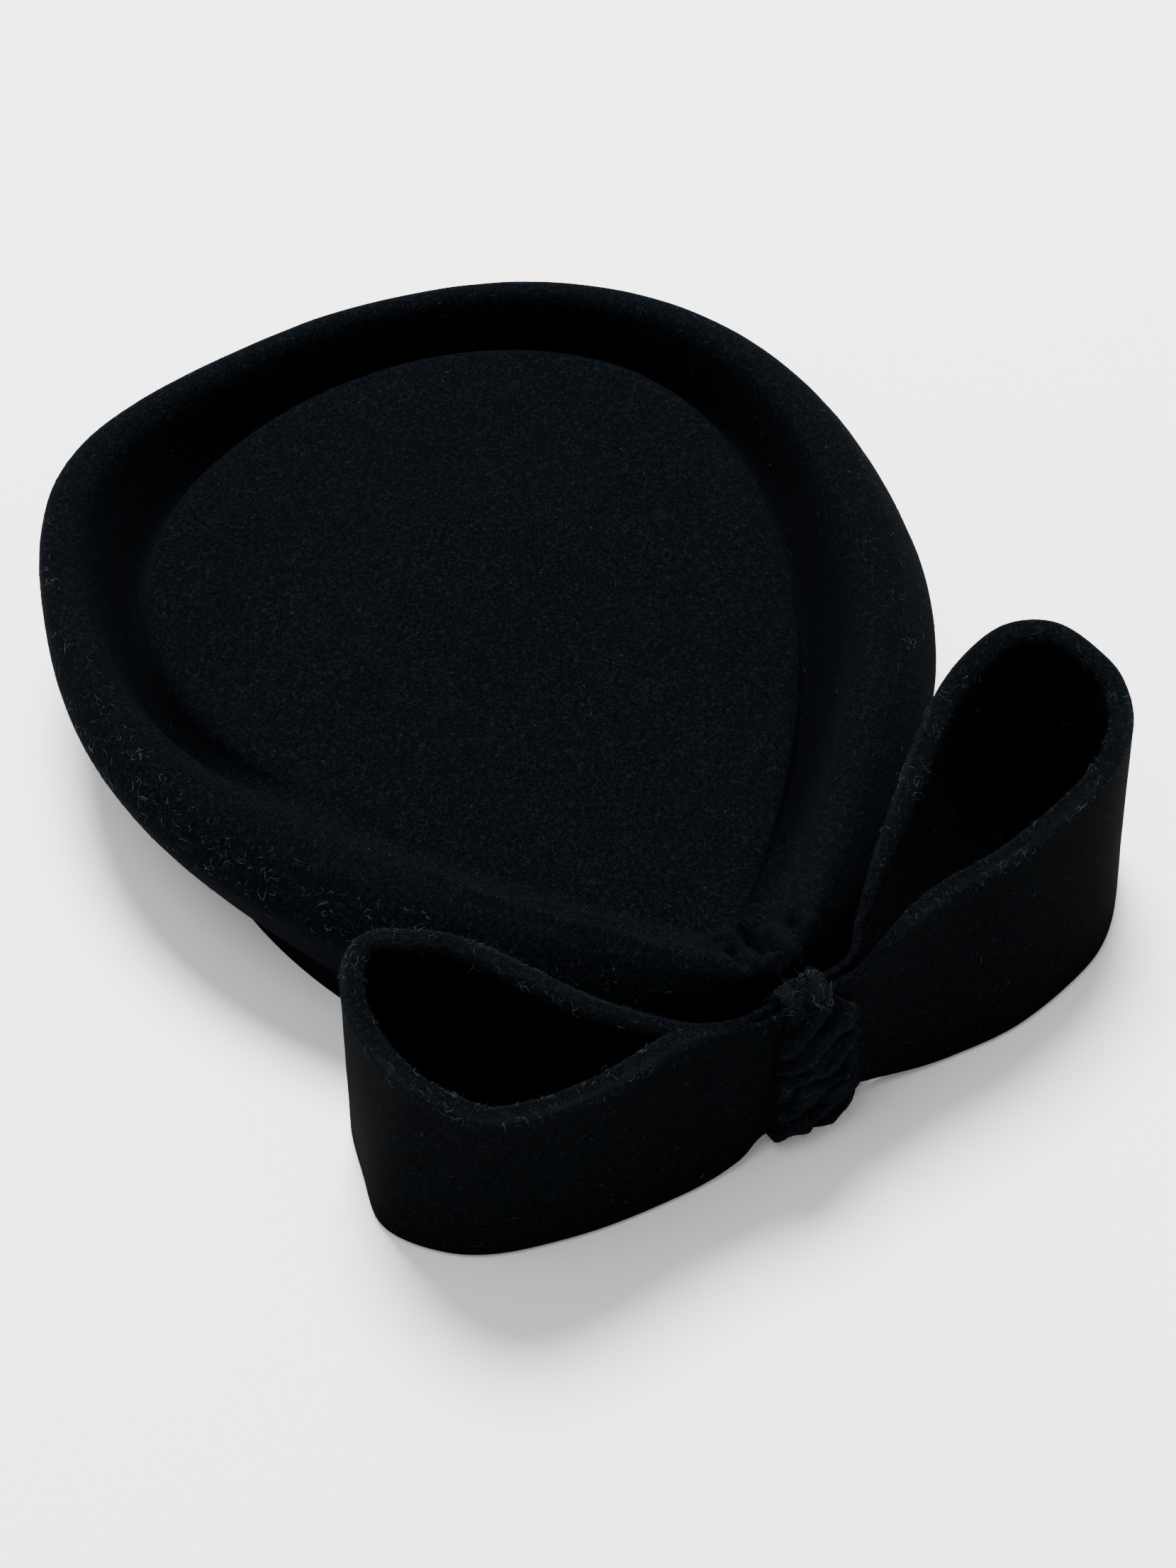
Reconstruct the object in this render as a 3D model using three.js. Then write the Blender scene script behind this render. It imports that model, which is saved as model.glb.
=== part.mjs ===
// A small teardrop hat of moulded wool felt with a felt bow at its tip.
// Millimetres, +Z up. The crown's long axis runs along Y, with its tip and the bow at the front (-Y).
// Lengths in the tables are shares of the named sizes that their columns follow.
import * as THREE from "three";

// Crown: driving sizes.
const CROWN_WIDTH = 149;
const CROWN_LENGTH = 164;
const RIM_HEIGHT = 36;
const CHANNEL_DEPTH = 14;
const CROWN_FELT = 3;
const DOME_SHIFT = -1.2;
const TIP_LEAN = -5.3;
const CORNER_SWELL = 5;
const GATHER_DEPTH = 1.8;
const GATHER_REACH = 17.5;

// Bow: driving sizes.
const BAND_HEIGHT = 44;
const BAND_FELT = 3;
const LEFT_LOOP_LENGTH = 63;
const LEFT_LOOP_DEPTH = 43.5;
const RIGHT_LOOP_LENGTH = 79;
const RIGHT_LOOP_DEPTH = 38;

// Knot: driving sizes.
const WRAP_WIDTH = 15;
const WRAP_SHIFT = 0.8;
const WRAP_FELT = 2.8;
const WRAP_RUCHE = 0.7;
const WRAP_PLEATS = 11;
const PINCH_FELT = 1.7;
const PINCH_HEIGHT = 34.8;
const CLEARANCE = 0.3;

// Inside of the knot: the wrap's round ends, its lowest inner point, and the lowest pinched edge.
const KNOT_CORNER = PINCH_FELT + CLEARANCE * 1.5;
const KNOT_LOW = WRAP_FELT + WRAP_RUCHE + CLEARANCE;
const EDGE_ROOM = KNOT_CORNER * 0.55;
const PINCH_LOW = KNOT_LOW + EDGE_ROOM;

// Mesh fineness.
const CROWN_STATIONS = 80;
const CROWN_STATION_BIAS = 1.5;
const TABLE_STEPS = 2;
const LOOP_STEPS = 3;
const WRAP_STATIONS = 66;

const FELT_BLACK = new THREE.Color(0.012, 0.014, 0.018);

// Rings of the crown's outer face, from the top of the dome out to the lower edge. Each ring is a
// teardrop. wide follows half of CROWN_WIDTH; from and to are its tip and back along CROWN_LENGTH;
// point is how pointed its tip is and blunt how much of a plain oval is mixed in. rise follows
// RIM_HEIGHT and sink follows CHANNEL_DEPTH, sink at the tip, side and back. dome is the share of
// DOME_SHIFT and swell the share of CORNER_SWELL that the ring takes. fill is how far the ring takes
// the tip's shallow channel along the near left side too.
const CROWN_RINGS = [
  { ring: "dome top", wide: 0.260, from: 0.410, to: 0.690, point: 0.60, blunt: 0.30,
    rise: 1.000, tip: 0.24, side: 0.20, back: 0.20, dome: 1.0, swell: 0.0, fill: 0.0 },
  { ring: "dome slope", wide: 0.500, from: 0.250, to: 0.810, point: 0.80, blunt: 0.15,
    rise: 1.000, tip: 0.26, side: 0.25, back: 0.25, dome: 1.0, swell: 0.0, fill: 0.3 },
  { ring: "dome side", wide: 0.668, from: 0.130, to: 0.886, point: 0.92, blunt: 0.05,
    rise: 1.000, tip: 0.28, side: 0.35, back: 0.34, dome: 1.0, swell: 0.1, fill: 1.0 },
  { ring: "dome shoulder", wide: 0.738, from: 0.088, to: 0.917, point: 0.96, blunt: 0.02,
    rise: 1.000, tip: 0.30, side: 0.50, back: 0.48, dome: 1.0, swell: 0.1, fill: 1.0 },
  { ring: "channel wall", wide: 0.770, from: 0.074, to: 0.929, point: 0.98, blunt: 0.00,
    rise: 1.000, tip: 0.31, side: 0.86, back: 0.84, dome: 0.8, swell: 0.2, fill: 1.0 },
  { ring: "channel floor", wide: 0.812, from: 0.056, to: 0.941, point: 1.00, blunt: 0.00,
    rise: 1.000, tip: 0.28, side: 1.00, back: 1.00, dome: 0.5, swell: 0.3, fill: 1.0 },
  { ring: "rim inner wall", wide: 0.864, from: 0.030, to: 0.954, point: 1.00, blunt: 0.00,
    rise: 1.000, tip: 0.14, side: 0.60, back: 0.56, dome: 0.1, swell: 0.7, fill: 1.0 },
  { ring: "rim top", wide: 0.914, from: 0.004, to: 0.970, point: 1.00, blunt: 0.00,
    rise: 1.000, tip: -0.06, side: 0.00, back: 0.00, dome: 0.0, swell: 1.0, fill: 0.0 },
  { ring: "rim shoulder", wide: 0.976, from: 0.001, to: 0.992, point: 0.84, blunt: 0.05,
    rise: 0.935, tip: -0.06, side: 0.00, back: 0.00, dome: 0.0, swell: 1.0, fill: 0.0 },
  { ring: "rim bulge", wide: 1.000, from: 0.000, to: 1.000, point: 0.66, blunt: 0.14,
    rise: 0.750, tip: 0.00, side: 0.00, back: 0.00, dome: 0.0, swell: 1.0, fill: 0.0 },
  { ring: "under the rim", wide: 0.940, from: 0.012, to: 0.972, point: 0.66, blunt: 0.25,
    rise: 0.460, tip: 0.00, side: 0.00, back: 0.00, dome: 0.0, swell: 0.8, fill: 0.0 },
  { ring: "waist", wide: 0.808, from: 0.030, to: 0.926, point: 0.35, blunt: 0.45,
    rise: 0.200, tip: 0.00, side: 0.00, back: 0.00, dome: 0.0, swell: 0.5, fill: 0.0 },
  { ring: "lower edge", wide: 0.812, from: 0.030, to: 0.924, point: 0.35, blunt: 0.50,
    rise: 0.000, tip: 0.00, side: 0.00, back: 0.00, dome: 0.0, swell: 0.4, fill: 0.0 },
];
const DOME_SINK = 0.19;
const DOME_MIDDLE = 0.55;

// Where the left channel fades out, on the half turn from tip (0) to back (1): it has its whole depth
// beyond the first and is as shallow as at the tip before the second.
const LEFT_CHANNEL_WHOLE = 0.62;
const LEFT_CHANNEL_GONE = 0.44;

// Soft corners and flats of the rim. at is where they lie on the half turn from tip (0) to back (1),
// negative on the left; spread is their width on the same scale; out follows CORNER_SWELL, outward;
// lift follows CORNER_SWELL, upward.
const RIM_CORNERS = [
  { at: -0.83, spread: 0.073, out: 1.40, lift: 0.50 },
  { at: -0.99, spread: 0.070, out: 0.38, lift: 0.00 },
  { at: 0.70, spread: 0.110, out: -0.48, lift: 0.00 },
  { at: 0.37, spread: 0.080, out: 0.60, lift: 0.00 },
];

// Fan of gathers at the tip: how far apart the ridges fan out, the turn of the first, and the share
// of their reach over which they rise from the point where they meet.
const GATHER_PITCH = THREE.MathUtils.degToRad(28);
const GATHER_TURN = THREE.MathUtils.degToRad(12);
const GATHER_RISE = 0.35;
const TIP_FALL = 2.2;

// Plan of each loop's outer face, from the front of the knot round the end and back. out follows the
// loop's length from the knot and back its depth from the knot's middle, both for the top edge. splay
// and tuck move the bottom edge from there, along the length and the depth. layer says which of the
// two pinched layers the band runs to, -1 in front and 1 behind. pinch is how far the knot squeezes the
// top edge down, and lift how far it draws the bottom edge up.
const LEFT_LOOP = [
  { out: 0.000, back: 0.000, splay: 0.000, tuck: 0.000, layer: -1.0, pinch: 1.00, lift: 1.00 },
  { out: 0.125, back: 0.000, splay: 0.000, tuck: 0.000, layer: -1.0, pinch: 0.99, lift: 0.99 },
  { out: 0.204, back: 0.012, splay: 0.000, tuck: -0.020, layer: -1.0, pinch: 0.60, lift: 0.30 },
  { out: 0.355, back: 0.047, splay: 0.000, tuck: -0.048, layer: -1.0, pinch: 0.12, lift: 0.00 },
  { out: 0.613, back: 0.038, splay: 0.000, tuck: 0.014, layer: -1.0, pinch: 0.00, lift: 0.00 },
  { out: 0.856, back: 0.106, splay: 0.006, tuck: 0.044, layer: -0.6, pinch: 0.00, lift: 0.00 },
  { out: 0.962, back: 0.285, splay: 0.032, tuck: -0.008, layer: -0.3, pinch: 0.00, lift: 0.00 },
  { out: 1.010, back: 0.469, splay: 0.060, tuck: -0.010, layer: 0.0, pinch: 0.00, lift: 0.00 },
  { out: 1.010, back: 0.749, splay: 0.025, tuck: -0.079, layer: 0.2, pinch: 0.00, lift: 0.00 },
  { out: 0.945, back: 0.947, splay: 0.026, tuck: -0.038, layer: 0.4, pinch: 0.00, lift: 0.00 },
  { out: 0.855, back: 1.020, splay: 0.004, tuck: -0.050, layer: 0.5, pinch: 0.00, lift: 0.00 },
  { out: 0.750, back: 0.949, splay: 0.034, tuck: -0.064, layer: 0.6, pinch: 0.00, lift: 0.00 },
  { out: 0.629, back: 0.768, splay: 0.055, tuck: -0.056, layer: 0.8, pinch: 0.00, lift: 0.00 },
  { out: 0.469, back: 0.337, splay: 0.035, tuck: -0.033, layer: 1.0, pinch: 0.10, lift: 0.00 },
  { out: 0.318, back: 0.077, splay: 0.000, tuck: 0.000, layer: 1.0, pinch: 0.40, lift: 0.30 },
  { out: 0.205, back: 0.006, splay: 0.000, tuck: 0.000, layer: 1.0, pinch: 0.80, lift: 0.80 },
  { out: 0.125, back: 0.000, splay: 0.000, tuck: 0.000, layer: 1.0, pinch: 0.99, lift: 0.99 },
  { out: 0.000, back: 0.000, splay: 0.000, tuck: 0.000, layer: 1.0, pinch: 1.00, lift: 1.00 },
];
const RIGHT_LOOP = [
  { out: 0.000, back: 0.000, splay: 0.000, tuck: 0.000, layer: -1.0, pinch: 1.00, lift: 1.00 },
  { out: 0.115, back: 0.000, splay: 0.000, tuck: 0.000, layer: -1.0, pinch: 0.99, lift: 1.00 },
  { out: 0.175, back: 0.012, splay: 0.000, tuck: -0.015, layer: -1.0, pinch: 0.60, lift: 0.60 },
  { out: 0.337, back: 0.054, splay: 0.003, tuck: -0.112, layer: -1.0, pinch: 0.10, lift: 0.03 },
  { out: 0.537, back: 0.064, splay: 0.010, tuck: -0.156, layer: -1.0, pinch: 0.00, lift: 0.00 },
  { out: 0.775, back: 0.150, splay: 0.006, tuck: -0.155, layer: -0.6, pinch: 0.00, lift: 0.00 },
  { out: 0.918, back: 0.304, splay: 0.013, tuck: -0.066, layer: -0.3, pinch: 0.00, lift: 0.00 },
  { out: 0.982, back: 0.513, splay: 0.005, tuck: -0.066, layer: 0.0, pinch: 0.00, lift: 0.00 },
  { out: 0.990, back: 0.703, splay: -0.016, tuck: -0.092, layer: 0.1, pinch: 0.00, lift: 0.00 },
  { out: 0.960, back: 0.922, splay: -0.035, tuck: -0.221, layer: 0.3, pinch: 0.00, lift: 0.00 },
  { out: 0.880, back: 1.031, splay: -0.038, tuck: -0.308, layer: 0.4, pinch: 0.00, lift: 0.00 },
  { out: 0.772, back: 1.015, splay: -0.022, tuck: -0.347, layer: 0.5, pinch: 0.00, lift: 0.00 },
  { out: 0.633, back: 0.887, splay: 0.013, tuck: -0.316, layer: 0.7, pinch: 0.00, lift: 0.00 },
  { out: 0.450, back: 0.598, splay: 0.037, tuck: -0.170, layer: 1.0, pinch: 0.05, lift: 0.00 },
  { out: 0.292, back: 0.341, splay: 0.021, tuck: -0.053, layer: 1.0, pinch: 0.30, lift: 0.20 },
  { out: 0.175, back: 0.125, splay: 0.000, tuck: 0.000, layer: 1.0, pinch: 0.72, lift: 0.75 },
  { out: 0.115, back: 0.012, splay: 0.000, tuck: 0.000, layer: 1.0, pinch: 0.98, lift: 0.98 },
  { out: 0.000, back: 0.000, splay: 0.000, tuck: 0.000, layer: 1.0, pinch: 1.00, lift: 1.00 },
];

// Section of a felt band: across is a share of its thickness from the outer face, up a share of its
// height. The cut edges are flat with slightly worn corners.
const BAND_SECTION = [
  { across: 0.20, up: 0.000 },
  { across: 0.00, up: 0.018 },
  { across: 0.00, up: 0.350 },
  { across: 0.00, up: 0.700 },
  { across: 0.00, up: 0.982 },
  { across: 0.20, up: 1.000 },
  { across: 0.80, up: 1.000 },
  { across: 1.00, up: 0.982 },
  { across: 1.00, up: 0.700 },
  { across: 1.00, up: 0.350 },
  { across: 1.00, up: 0.018 },
  { across: 0.80, up: 0.000 },
];

// Section of the wrap: across is a share of half of WRAP_WIDTH, out a share of WRAP_FELT, ruche the
// share of WRAP_RUCHE that the pleats move this point in or out.
const WRAP_SECTION = [
  { across: -0.94, out: 0.00, ruche: 0.0 },
  { across: 0.00, out: 0.00, ruche: 0.0 },
  { across: 0.94, out: 0.00, ruche: 0.0 },
  { across: 1.00, out: 0.35, ruche: 0.5 },
  { across: 0.86, out: 0.80, ruche: 1.0 },
  { across: 0.50, out: 1.00, ruche: 1.0 },
  { across: 0.00, out: 0.94, ruche: 0.4 },
  { across: -0.50, out: 1.00, ruche: -1.0 },
  { across: -0.86, out: 0.80, ruche: -1.0 },
  { across: -1.00, out: 0.35, ruche: -0.5 },
];

// The value between b and c of a smooth curve through a, b, c and d.
function between(a, b, c, d, t) {
  const bend = 2 * a - 5 * b + 4 * c - d;
  const twist = 3 * b - a - 3 * c + d;
  return 0.5 * (2 * b + (c - a) * t + bend * t * t + twist * t * t * t);
}

// The table's rows with smooth rows put in between, each column by itself.
function smoothRows(rows, steps) {
  const result = [];
  const last = rows.length - 1;
  for (let i = 0; i < last; i += 1) {
    const near = [rows[Math.max(i - 1, 0)], rows[i], rows[i + 1], rows[Math.min(i + 2, last)]];
    for (let step = 0; step < steps; step += 1) {
      const row = {};
      for (const column of Object.keys(rows[i])) {
        if (typeof rows[i][column] === "number") {
          row[column] = between(...near.map((r) => r[column]), step / steps);
        }
      }
      result.push(row);
    }
  }
  result.push(rows[last]);
  return result;
}

// A closed mesh through a list of closed rings of points, capped at both ends or joined end to end.
function skin(rings, endless) {
  const points = rings.flat();
  const across = rings[0].length;
  const faces = [];
  const bands = endless ? rings.length : rings.length - 1;
  for (let i = 0; i < bands; i += 1) {
    const next = (i + 1) % rings.length;
    for (let j = 0; j < across; j += 1) {
      const k = (j + 1) % across;
      const corners = [i * across + j, i * across + k, next * across + k, next * across + j];
      const even = points[corners[0]].distanceTo(points[corners[2]]);
      const odd = points[corners[1]].distanceTo(points[corners[3]]);
      const [a, b, c, d] = corners;
      faces.push(...(even <= odd ? [a, b, c, a, c, d] : [a, b, d, b, c, d]));
    }
  }
  if (!endless) {
    for (const [ring, turn] of [[0, 1], [rings.length - 1, -1]]) {
      const middle = new THREE.Vector3();
      rings[ring].forEach((point) => middle.add(point));
      points.push(middle.divideScalar(across));
      for (let j = 0; j < across; j += 1) {
        const pair = [ring * across + j, ring * across + ((j + 1) % across)];
        faces.push(points.length - 1, ...(turn > 0 ? pair.reverse() : pair));
      }
    }
  }
  return closedGeometry(points, faces);
}

// A geometry from shared points and faces, turned so that its faces point outward.
function closedGeometry(points, faces) {
  let volume = 0;
  for (let i = 0; i < faces.length; i += 3) {
    const [a, b, c] = [points[faces[i]], points[faces[i + 1]], points[faces[i + 2]]];
    volume += a.dot(new THREE.Vector3().crossVectors(b, c));
  }
  const order = volume < 0 ? faces.reverse() : faces;
  const geometry = new THREE.BufferGeometry();
  geometry.setAttribute("position", new THREE.Float32BufferAttribute(points.flatMap((p) => p.toArray()), 3));
  geometry.setIndex(order);
  geometry.computeVertexNormals();
  return geometry;
}

function feltMesh(name, geometry, roughness) {
  const material = new THREE.MeshStandardMaterial({ color: FELT_BLACK, roughness, metalness: 0 });
  const mesh = new THREE.Mesh(geometry, material);
  mesh.name = name;
  return mesh;
}

// Where the crown's stations stand on the turn from tip to back, closer together at the gathers.
function crownTurns() {
  const half = CROWN_STATIONS / 2;
  const turns = [];
  for (let i = -half; i < half; i += 1) {
    turns.push(Math.sign(i) * Math.PI * (Math.abs(i) / half) ** CROWN_STATION_BIAS);
  }
  return turns;
}

// The half width of a teardrop at a turn from its tip, before it is brought to its full width.
function teardrop(row, turn) {
  return Math.sin(turn) * (row.blunt + (1 - row.blunt) * Math.sin(turn / 2) ** row.point);
}

function widestTeardrop(row) {
  let widest = 0;
  for (let i = 1; i < 90; i += 1) {
    widest = Math.max(widest, teardrop(row, (i / 90) * Math.PI));
  }
  return widest;
}

// How strongly the rim's corners act at a turn: outward and upward, in millimetres.
function cornerAt(turn) {
  const place = turn / Math.PI;
  let out = 0;
  let lift = 0;
  for (const corner of RIM_CORNERS) {
    let apart = Math.abs(place - corner.at);
    apart = Math.min(apart, 2 - apart);
    const strength = CORNER_SWELL * Math.exp(-0.5 * (apart / corner.spread) ** 2);
    out += corner.out * strength;
    lift += corner.lift * strength;
  }
  return { out, lift };
}

// One point of the crown's smooth outer face, the gathers left out.
function crownPoint(row, widest, turn) {
  const half = Math.abs(turn);
  const tipShare = Math.max(0, Math.cos(half)) ** TIP_FALL;
  const backShare = Math.max(0, -Math.cos(half));
  const deep = row.side + (row.tip - row.side) * tipShare + (row.back - row.side) * backShare;
  const faded = 1 - THREE.MathUtils.smoothstep(half / Math.PI, LEFT_CHANNEL_GONE, LEFT_CHANNEL_WHOLE);
  const sink = THREE.MathUtils.lerp(deep, row.tip, turn < 0 ? faded * row.fill : 0);
  const corner = cornerAt(turn);
  const x = Math.sign(turn) * (CROWN_WIDTH / 2) * row.wide * (teardrop(row, half) / widest);
  const middle = ((row.from + row.to) / 2) * CROWN_LENGTH;
  const y = middle - ((row.to - row.from) / 2) * CROWN_LENGTH * Math.cos(half);
  const outward = new THREE.Vector3(x, y - CROWN_LENGTH * DOME_MIDDLE, 0).normalize();
  const point = new THREE.Vector3(x, y, RIM_HEIGHT * row.rise - CHANNEL_DEPTH * sink);
  point.addScaledVector(outward, corner.out * row.swell);
  point.x += DOME_SHIFT * row.dome + TIP_LEAN * Math.max(0, Math.cos(half)) ** 4;
  point.z += corner.lift * row.swell * row.rise;
  return point;
}

// How high the gathers lift the felt at a point: a fan of ridges that fades away from the tip.
function gatherLift(point) {
  const away = Math.hypot(point.x - TIP_LEAN, point.y) / GATHER_REACH;
  const fade = Math.max(0, 1 - away ** 3) * Math.min(1, away / GATHER_RISE);
  const turn = Math.atan2(point.x - TIP_LEAN, point.y);
  return GATHER_DEPTH * fade * Math.cos(((turn - GATHER_TURN) / GATHER_PITCH) * 2 * Math.PI);
}

// Outward directions at the points of a grid of rings that starts at a middle point.
function gridNormals(rings, middle) {
  const across = rings[0].length;
  return rings.map((ring, i) => ring.map((point, j) => {
    const inner = i === 0 ? middle : rings[i - 1][j];
    const outer = i === rings.length - 1 ? ring[j] : rings[i + 1][j];
    const along = ring[(j + 1) % across].clone().sub(ring[(j + across - 1) % across]);
    return along.cross(outer.clone().sub(inner)).normalize();
  }));
}

// Crown: one wall of felt, its inner face CROWN_FELT inside the smooth outer face.
function crownGeometry() {
  const turns = crownTurns();
  const rows = smoothRows(CROWN_RINGS, TABLE_STEPS);
  const smooth = rows.map((row) => {
    const widest = widestTeardrop(row);
    return turns.map((turn) => crownPoint(row, widest, turn));
  });
  const domeTop = new THREE.Vector3(
    DOME_SHIFT, CROWN_LENGTH * DOME_MIDDLE, RIM_HEIGHT - CHANNEL_DEPTH * DOME_SINK);
  const normals = gridNormals(smooth, domeTop);
  const facing = Math.sign(normals[0][0].z);
  const outer = smooth.map((ring) => ring.map((point) => {
    const lifted = point.clone();
    lifted.z += gatherLift(point) * Math.min(1, point.z / (RIM_HEIGHT / 2));
    return lifted;
  }));
  outer[outer.length - 1].forEach((point, j) => point.copy(smooth[smooth.length - 1][j]));
  const inner = smooth.map((ring, i) => ring.map((point, j) => {
    const moved = point.clone().addScaledVector(normals[i][j], -CROWN_FELT * facing);
    if (i === smooth.length - 1) {
      moved.z = 0;
    }
    return moved;
  }));
  return skin([...outer, ...inner.reverse()], false);
}

// A bow loop: a felt band along its plan, pinched thin and low in the knot. side is -1 on the left.
function loopGeometry(table, side, length, depth) {
  const rows = smoothRows(table, LOOP_STEPS);
  const apart = CLEARANCE / 2;
  const planAt = (shift) => rows.map((row) => new THREE.Vector2(
    side * (apart + (row.out + row.splay * shift) * length),
    row.layer * (PINCH_FELT + apart) + (row.back + row.tuck * shift) * depth));
  const plans = [planAt(1), planAt(0)];
  const inwardAt = (plan, i) => {
    const before = plan[Math.max(i - 1, 0)];
    const ahead = plan[Math.min(i + 1, plan.length - 1)].clone().sub(before).normalize();
    return new THREE.Vector2(-ahead.y, ahead.x).multiplyScalar(side);
  };
  const rings = rows.map((row, i) => {
    const low = PINCH_LOW * Math.max(row.lift, 0);
    const tall = THREE.MathUtils.lerp(BAND_HEIGHT, PINCH_LOW + PINCH_HEIGHT, row.pinch) - low;
    const thick = THREE.MathUtils.lerp(BAND_FELT, PINCH_FELT, row.pinch);
    const [foot, top] = plans.map((plan) => plan[i]);
    const inward = inwardAt(plans[0], i).lerp(inwardAt(plans[1], i), 0.5).normalize();
    return BAND_SECTION.map((corner) => {
      const place = foot.clone().lerp(top, corner.up).addScaledVector(inward, corner.across * thick);
      return new THREE.Vector3(place.x, place.y, low + tall * corner.up);
    });
  });
  return skin(rings, false);
}

// The knot's wrap: a ruched strip round the pinched bands, in a long round-cornered ring.
function wrapGeometry() {
  const corner = KNOT_CORNER;
  const straight = PINCH_HEIGHT + 2 * (EDGE_ROOM - corner);
  const round = 2 * straight + 2 * Math.PI * corner;
  const rings = [];
  for (let i = 0; i < WRAP_STATIONS; i += 1) {
    const place = racetrack((i / WRAP_STATIONS) * round, straight, corner);
    const pleat = Math.sin((i / WRAP_STATIONS) * WRAP_PLEATS * 2 * Math.PI);
    rings.push(WRAP_SECTION.map((row) => {
      const out = row.out * WRAP_FELT + row.ruche * WRAP_RUCHE * pleat;
      return new THREE.Vector3(
        WRAP_SHIFT + row.across * (WRAP_WIDTH / 2),
        place.y + place.facing.x * out,
        KNOT_LOW + corner + place.z + place.facing.y * out);
    }));
  }
  return skin(rings, true);
}

// A place on an upright ring with two straight sides, and the direction that faces out of it there.
function racetrack(along, straight, corner) {
  const bend = Math.PI * corner;
  if (along < straight) {
    return { y: -corner, z: along, facing: new THREE.Vector2(-1, 0) };
  }
  if (along < straight + bend) {
    const turn = Math.PI - (along - straight) / corner;
    const facing = new THREE.Vector2(Math.cos(turn), Math.sin(turn));
    return { y: corner * facing.x, z: straight + corner * facing.y, facing };
  }
  if (along < 2 * straight + bend) {
    return { y: corner, z: 2 * straight + bend - along, facing: new THREE.Vector2(1, 0) };
  }
  const turn = -(along - 2 * straight - bend) / corner;
  const facing = new THREE.Vector2(Math.cos(turn), Math.sin(turn));
  return { y: corner * facing.x, z: corner * facing.y, facing };
}

const group = new THREE.Group();
group.add(feltMesh("felt_crown", crownGeometry(), 0.95));

const knotDepth = KNOT_CORNER + WRAP_FELT + WRAP_RUCHE;
const bow = new THREE.Group();
bow.add(feltMesh("bow_loop_left", loopGeometry(LEFT_LOOP, -1, LEFT_LOOP_LENGTH, LEFT_LOOP_DEPTH), 0.95));
bow.add(feltMesh("bow_loop_right", loopGeometry(RIGHT_LOOP, 1, RIGHT_LOOP_LENGTH, RIGHT_LOOP_DEPTH), 0.95));
bow.add(feltMesh("knot_wrap", wrapGeometry(), 0.97));
bow.position.set(TIP_LEAN, -knotDepth - CLEARANCE, 0);
group.add(bow);

// The origin is the middle of the whole hat, on the surface that it rests on.
group.updateMatrixWorld(true);
const whole = new THREE.Box3().setFromObject(group);
const middle = whole.getCenter(new THREE.Vector3());
group.position.set(-middle.x, -middle.y, -whole.min.z);

export default group;
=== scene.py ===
"""A small teardrop hat of black wool felt with a felt bow at its tip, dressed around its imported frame.

The crown is one wall of moulded felt, gathered into ridges under the bow. The bow is two felt bands,
pinched and held by a ruched strip. Lengths are in millimetres until a mesh is made. The tables of rings
and plans hold shares of the named sizes; the creases' paths are in millimetres. The crown's own frame
has y = 0 at its tip and x = 0 on the rim's axis.
"""

import logging
import math
from collections.abc import Callable, Iterable
from dataclasses import dataclass
from enum import Enum

import bmesh
import bpy
import numpy as np
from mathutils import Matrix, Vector, noise


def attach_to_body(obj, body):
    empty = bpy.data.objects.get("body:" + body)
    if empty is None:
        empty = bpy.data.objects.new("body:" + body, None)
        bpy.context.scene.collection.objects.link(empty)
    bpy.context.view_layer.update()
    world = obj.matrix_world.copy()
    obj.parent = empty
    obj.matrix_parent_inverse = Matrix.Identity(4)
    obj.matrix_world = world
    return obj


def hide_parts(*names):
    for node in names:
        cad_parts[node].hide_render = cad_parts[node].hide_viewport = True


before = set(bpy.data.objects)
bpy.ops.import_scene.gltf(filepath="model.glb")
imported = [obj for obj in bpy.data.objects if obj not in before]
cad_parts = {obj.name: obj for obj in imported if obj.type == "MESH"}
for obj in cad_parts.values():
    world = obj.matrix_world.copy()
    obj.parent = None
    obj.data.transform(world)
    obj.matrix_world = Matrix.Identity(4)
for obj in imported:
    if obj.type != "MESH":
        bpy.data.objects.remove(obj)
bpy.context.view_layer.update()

logging.basicConfig(level=logging.INFO, format="%(message)s")
log = logging.getLogger("hat")

MM = 0.001
BODY = "root"
CROWN_PLACE = (0.399, -77.491, 0.0)
BOW_PLACE = (-4.901, -83.441, 0.0)
SEAM_GAP = 1e-7
SLIVER = 1e-8

Array = np.ndarray
Number = float | int


class Slot(Enum):
    """The record's material slots."""

    CROWN = "crown_felt"
    BOW = "bow_felt"
    WRAP = "wrap_felt"


class Side(Enum):
    """The side of the bow that a loop lies on, as the sign of its x."""

    LEFT = -1
    RIGHT = 1


# Small helpers for tables, curves and grids of points.


def smooth_rows(rows: Array, steps: int) -> Array:
    """Puts smooth rows between the rows of a table, each column by itself.

    Args:
        rows: the table, one row to a line.
        steps: how many rows stand for each old one.

    Returns:
        The longer table, which still goes through each old row.
    """
    last = len(rows) - 1
    at = np.arange(last * steps + 1) / steps
    low = np.minimum(at.astype(int), last - 1)
    t = (at - low)[:, None]
    a, b = rows[np.maximum(low - 1, 0)], rows[low]
    c, d = rows[low + 1], rows[np.minimum(low + 2, last)]
    bend = 2 * a - 5 * b + 4 * c - d
    twist = 3 * b - a - 3 * c + d
    return 0.5 * (2 * b + (c - a) * t + bend * t**2 + twist * t**3)


def ease(value: Array, low: float, high: float) -> Array:
    """A smooth step from 0 at low to 1 at high."""
    t = np.clip((value - low) / (high - low), 0.0, 1.0)
    return t * t * (3.0 - 2.0 * t)


def unit(vectors: Array) -> Array:
    """The vectors, each brought to a length of 1."""
    return vectors / np.maximum(np.linalg.norm(vectors, axis=-1, keepdims=True), 1e-12)


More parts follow.
